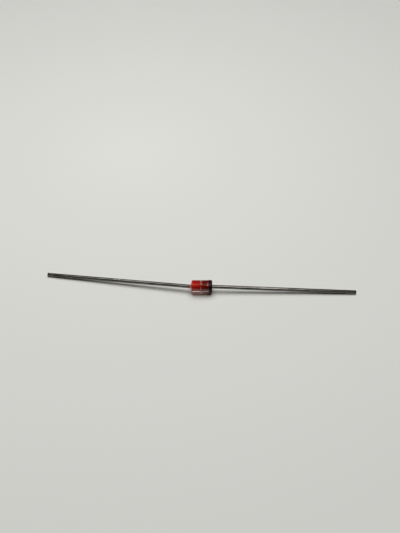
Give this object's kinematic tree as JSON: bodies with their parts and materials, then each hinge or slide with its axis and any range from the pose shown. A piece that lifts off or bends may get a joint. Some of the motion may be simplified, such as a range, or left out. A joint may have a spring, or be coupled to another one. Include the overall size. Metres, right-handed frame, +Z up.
{
  "type": "zener diode",
  "caption": "Axial zener diode: clear glass sleeve sealed on red plugs round a silicon chip, with a black cathode band and long tinned wire leads, lying at rest.",
  "frame": {"origin": "on the surface that the diode lies on, under the middle of its footprint box", "axes": "+X along the glass body from anode to cathode, +Z up from the surface"},
  "size_m": [0.06, 0.0056, 0.0026],
  "materials": {
    "glass": "clear fire-polished glass",
    "band_paint": "black glossy paint",
    "red_plug": "red oxidised copper skin",
    "silicon": "sawn silicon",
    "contact_metal": "plated silver",
    "tinned_wire": "tinned wire with drawing streaks"
  },
  "bodies": {
    "root": {"glass_sleeve": "glass", "cathode_band": "band_paint", "anode_plug": "red_plug", "cathode_plug": "red_plug", "silicon_chip": "silicon", "contact_bump": "contact_metal", "anode_lead": "tinned_wire", "cathode_lead": "tinned_wire"}
  },
  "joints": []
}
